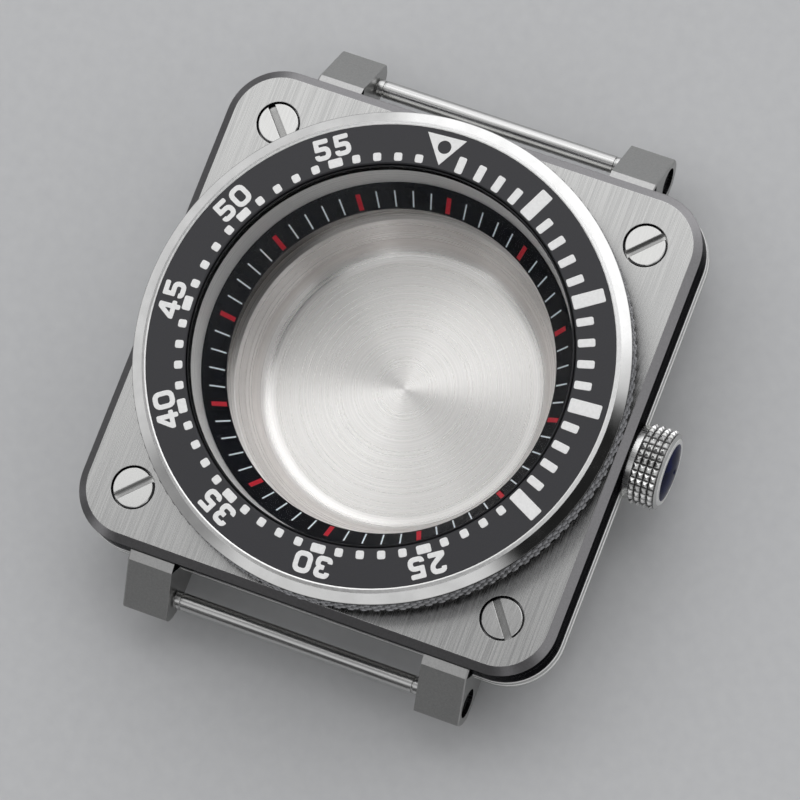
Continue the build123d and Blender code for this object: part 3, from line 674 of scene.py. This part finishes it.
# %% Crown collar
# place along the crown's axis, and radius
COLLAR_PROFILE = [(21.10, 2.70), (21.10, 3.08), (21.16, 3.14),
                  (21.64, 3.14), (21.68, 3.10), (21.68, 2.70)]
COLLAR_STEPS = 96
SHARP_ANGLE = math.radians(25)

collar = bmesh.new()
corners = [collar.verts.new((x, 0, CROWN_AXIS_Z + radius)) for x, radius in COLLAR_PROFILE]
outline = [collar.edges.new((corners[i - 1], corners[i])) for i in range(len(corners))]
bmesh.ops.spin(collar, geom=corners + outline, cent=(0, 0, CROWN_AXIS_Z), axis=(1, 0, 0),
               angle=math.tau, steps=COLLAR_STEPS, use_merge=True)
bmesh.ops.recalc_face_normals(collar, faces=collar.faces)
for face in collar.faces:
    face.smooth = True
for edge in collar.edges:
    edge.smooth = edge.calc_face_angle(math.pi) < SHARP_ANGLE
to_metres(collar)
crown_collar = link_piece("crown_collar", collar, filed_steel)
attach(crown_collar, "crown")
print("collar faces:", len(crown_collar.data.polygons))

# %% [markdown]
# ## Printed minutes on the insert
# White paint lies a few hundredths of a millimetre above the insert. Each minute is a small block
# with rounded corners: one is shaped, then copied and turned to its minute.

# %% Minute blocks
INSERT_TOP = 14.18
PRINT_RISE = 0.025
PRINT_SINK = 0.02
# how much of the paint's rise its edges lose to their bevel
EDGE_SHARE = 0.6
# how far the bezel stands turned from 12 o'clock, in degrees
BEZEL_OFFSET = -4.0
TURN_PER_MINUTE = 6.0


def minute_turn(minute, offset):
    """The turn about Z that takes something from 12 o'clock to a minute."""
    return Matrix.Rotation(-math.radians(TURN_PER_MINUTE * minute + offset), 4, "Z")


def ease_rim(bm, level, rise):
    """Bevels the edges that lie above a level, for paint of one rise."""
    rim = [e for e in bm.edges if min(v.co.z for v in e.verts) > level]
    bmesh.ops.bevel(bm, geom=rim, offset=rise * EDGE_SHARE, segments=1, profile=0.5,
                    affect="EDGES", material=-1)


def rounded_block(inner, outer, width, corner):
    """A flat block at 12 o'clock between two radii, in millimetres, with rounded corners."""
    bm = bmesh.new()
    bmesh.ops.create_cube(bm, size=1.0)
    height = PRINT_RISE + PRINT_SINK
    bmesh.ops.scale(bm, vec=(width, outer - inner, height), verts=bm.verts)
    middle = (0, (inner + outer) / 2, INSERT_TOP + (PRINT_RISE - PRINT_SINK) / 2)
    bmesh.ops.translate(bm, vec=middle, verts=bm.verts)
    upright = [e for e in bm.edges if abs(e.verts[0].co.z - e.verts[1].co.z) > height / 2]
    bmesh.ops.bevel(bm, geom=upright, offset=corner, segments=3, profile=0.5,
                    affect="EDGES", material=-1)
    ease_rim(bm, INSERT_TOP, PRINT_RISE)
    return bm


def place_copies(target, source, turns):
    """Adds a copy of source to target for each turn, and frees source."""
    mesh = bpy.data.meshes.new("block")
    source.to_mesh(mesh)
    source.free()
    for turn in turns:
        before = len(target.verts)
        target.from_mesh(mesh)
        target.verts.ensure_lookup_table()
        bmesh.ops.transform(target, matrix=turn, verts=target.verts[before:])
    bpy.data.meshes.remove(mesh)


marks = bmesh.new()
five_minutes = [5, 10, 15, 20]
first_minutes = [m for m in range(1, 20) if m % 5]
later_minutes = [m for m in range(21, 60) if m % 5]
later_fives = range(25, 60, 5)
# inner and outer radius, width and corner radius of a block, and the minutes that have it
BLOCKS = [
    (16.17, 18.84, 1.17, 0.14, five_minutes),
    (16.17, 17.60, 0.68, 0.15, first_minutes),
    (16.22, 16.93, 0.68, 0.17, later_minutes),
    (16.24, 16.98, 1.20, 0.15, later_fives),
]
for inner, outer, width, corner, minutes in BLOCKS:
    place_copies(marks, rounded_block(inner, outer, width, corner),
                 [minute_turn(m, BEZEL_OFFSET) for m in minutes])
to_metres(marks)
minute_blocks = link_piece("minute_blocks", marks, white_print)
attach(minute_blocks, "bezel")
print("minute blocks:", sum(len(minutes) for *sizes, minutes in BLOCKS))

# %% [markdown]
# ## Triangle at zero
# The zero mark is a triangle that points inwards, with a round hole that leaves the insert bare.
# Its outline and the hole's are filled together, so the hole needs no cutting, and the flat
# shape is then given its thickness.

# %% Zero triangle
TRIANGLE = [(-1.68, 18.86), (1.68, 18.86), (0.0, 16.36)]
HOLE_CENTRE = (0.03, 17.93)
HOLE_RADIUS = 0.56
HOLE_SIDES = 40


def raise_flat(bm, bottom, top):
    """Gives a flat face at z = 0 its thickness, from bottom to top."""
    bmesh.ops.translate(bm, vec=(0, 0, bottom), verts=bm.verts)
    made = bmesh.ops.extrude_face_region(bm, geom=bm.faces[:])
    lifted = [g for g in made["geom"] if isinstance(g, bmesh.types.BMVert)]
    bmesh.ops.translate(bm, vec=(0, 0, top - bottom), verts=lifted)
    bmesh.ops.recalc_face_normals(bm, faces=bm.faces)


triangle = bmesh.new()
corners = [triangle.verts.new((x, y, 0)) for x, y in TRIANGLE]
for start, end in zip(corners, corners[1:] + corners[:1]):
    triangle.edges.new((start, end))
bmesh.ops.create_circle(triangle, segments=HOLE_SIDES, radius=HOLE_RADIUS,
                        matrix=Matrix.Translation((*HOLE_CENTRE, 0)))
bmesh.ops.triangle_fill(triangle, edges=triangle.edges[:], use_beauty=True)
raise_flat(triangle, INSERT_TOP - PRINT_SINK, INSERT_TOP + PRINT_RISE)
bmesh.ops.transform(triangle, matrix=minute_turn(0, BEZEL_OFFSET), verts=triangle.verts)
to_metres(triangle)
zero_triangle = link_piece("zero_triangle", triangle, white_print)
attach(zero_triangle, "bezel")

# %% [markdown]
# ## Numerals
# The tens are plain rounded digits in one stroke width. Each digit is drawn as an outline of a
# few corners, with the radius that rounds each corner written beside it, and a hole as a second
# outline. The bevel operator rounds the corners of a flat outline just as it rounds the edges
# of a block, so the drawing stays short. The digits stand with their heads outwards.

# %% Numerals
DIGITS = {
    "0": [[(-0.76, -0.915, 0.58), (0.76, -0.915, 0.58), (0.76, 0.915, 0.58), (-0.76, 0.915, 0.58)],
          [(-0.34, -0.49, 0.22), (0.34, -0.49, 0.22), (0.34, 0.49, 0.22), (-0.34, 0.49, 0.22)]],
    "2": [[(-0.67, 0.34, 0.08), (-0.67, 0.915, 0.46), (0.67, 0.915, 0.46), (0.67, 0.08, 0.30),
           (0.0, -0.50, 0.05), (0.69, -0.50, 0.12), (0.69, -0.915, 0.12), (-0.69, -0.915, 0.12),
           (-0.69, -0.50, 0.16), (0.25, 0.22, 0.14), (0.25, 0.50, 0.14), (-0.25, 0.50, 0.10),
           (-0.25, 0.34, 0.08)]],
    "3": [[(-0.67, 0.36, 0.08), (-0.67, 0.915, 0.44), (0.66, 0.915, 0.44), (0.66, 0.20, 0.18),
           (0.52, 0.03, 0.05), (0.69, -0.10, 0.16), (0.69, -0.915, 0.46), (-0.69, -0.915, 0.42),
           (-0.69, -0.38, 0.08), (-0.27, -0.38, 0.08), (-0.27, -0.50, 0.06), (0.27, -0.50, 0.14),
           (0.27, -0.18, 0.12), (-0.12, -0.18, 0.08), (-0.12, 0.22, 0.08), (0.24, 0.22, 0.12),
           (0.24, 0.50, 0.12), (-0.25, 0.50, 0.06), (-0.25, 0.36, 0.06)]],
    "4": [[(0.02, 0.915, 0.12), (0.50, 0.915, 0.14), (0.50, -0.14, 0.03), (0.77, -0.14, 0.12),
           (0.77, -0.54, 0.12), (0.50, -0.54, 0.03), (0.50, -0.915, 0.14), (0.08, -0.915, 0.14),
           (0.08, -0.54, 0.03), (-0.77, -0.54, 0.12), (-0.77, -0.20, 0.10)],
          [(0.08, 0.34, 0.04), (0.08, -0.14, 0.04), (-0.27, -0.14, 0.04)]],
    "5": [[(-0.62, 0.915, 0.12), (0.62, 0.915, 0.14), (0.62, 0.495, 0.14), (-0.21, 0.495, 0.04),
           (-0.21, 0.27, 0.04), (0.69, 0.27, 0.50), (0.69, -0.915, 0.52), (-0.69, -0.915, 0.40),
           (-0.69, -0.40, 0.08), (-0.27, -0.40, 0.08), (-0.27, -0.50, 0.06), (0.27, -0.50, 0.14),
           (0.27, -0.14, 0.14), (-0.62, -0.14, 0.10)]],
}
# how far the tens and the ones stand from the numeral's middle, and its distance from the axis
DIGIT_PLACES = (-0.85, 0.86)
DIGIT_CENTRE = 17.985


def rounded_outline(bm, corners):
    """Adds a flat closed outline to bm, with each corner (x, y, radius) rounded."""
    verts = [bm.verts.new((x, y, 0)) for x, y, radius in corners]
    bm.faces.new(verts)
    for size in sorted({radius for x, y, radius in corners}):
        chosen = [v for v, corner in zip(verts, corners) if corner[2] == size]
        bmesh.ops.bevel(bm, geom=chosen, offset=size, segments=4, profile=0.5,
                        affect="VERTICES", material=-1)


def digit_mesh(outlines):
    """A digit about z = 0 from its outline and its hole, as thick as the paint."""
    bm = bmesh.new()
    for corners in outlines:
        rounded_outline(bm, corners)
    bmesh.ops.delete(bm, geom=bm.faces[:], context="FACES_ONLY")
    bmesh.ops.triangle_fill(bm, edges=bm.edges[:], use_beauty=True)
    raise_flat(bm, -PRINT_SINK, PRINT_RISE)
    return bm


numerals = bmesh.new()
for minute in later_fives:
    for digit, place in zip(str(minute), DIGIT_PLACES):
        upright = Matrix.Translation((place, DIGIT_CENTRE, INSERT_TOP))
        place_copies(numerals, digit_mesh(DIGITS[digit]),
                     [minute_turn(minute, BEZEL_OFFSET) @ upright])
to_metres(numerals)
bezel_numerals = link_piece("bezel_numerals", numerals, white_print)
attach(bezel_numerals, "bezel")
print("numeral faces:", len(bezel_numerals.data.polygons))

# %% [markdown]
# ## Ticks on the chapter ring
# The chapter ring is a cone that falls towards the dial. Its ticks are painted on the slope: 12
# red ones at the fives and 48 fine white ones. One tick is a thin block laid on the slope at
# 12 o'clock, and the rest are copies turned about the axis.

# %% Chapter ticks
# radius and height of the cone's two edges
CONE_INNER = Vector((13.68, 8.16))
CONE_OUTER = Vector((15.36, 10.05))
TICK_FROM, TICK_TO = 13.80, 14.86
TICK_RISE = 0.012
RING_OFFSET = -1.23
slope = (CONE_OUTER - CONE_INNER).normalized()
lean = math.atan2(slope.y, slope.x)


def tick_block(width):
    """A thin block on the cone at 12 o'clock."""
    bm = bmesh.new()
    bmesh.ops.create_cube(bm, size=1.0)
    length = (TICK_TO - TICK_FROM) / slope.x
    bmesh.ops.scale(bm, vec=(width, length, 2 * TICK_RISE), verts=bm.verts)
    ease_rim(bm, 0, TICK_RISE)
    middle = (TICK_FROM + TICK_TO) / 2
    height = CONE_INNER.y + (middle - CONE_INNER.x) * slope.y / slope.x
    laid = Matrix.Translation((0, middle, height)) @ Matrix.Rotation(lean, 4, "X")
    bmesh.ops.transform(bm, matrix=laid, verts=bm.verts)
    return bm


TICKS = [
    ("white_ticks", 0.13, [m for m in range(60) if m % 5], tick_white),
    ("red_ticks", 0.40, range(0, 60, 5), tick_red),
]
for name, width, minutes, material in TICKS:
    ticks = bmesh.new()
    place_copies(ticks, tick_block(width), [minute_turn(m, RING_OFFSET) for m in minutes])
    to_metres(ticks)
    piece = link_piece(name, ticks, material)
    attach(piece, "case")
print("ticks:", sum(len(minutes) for _, _, minutes, _ in TICKS))
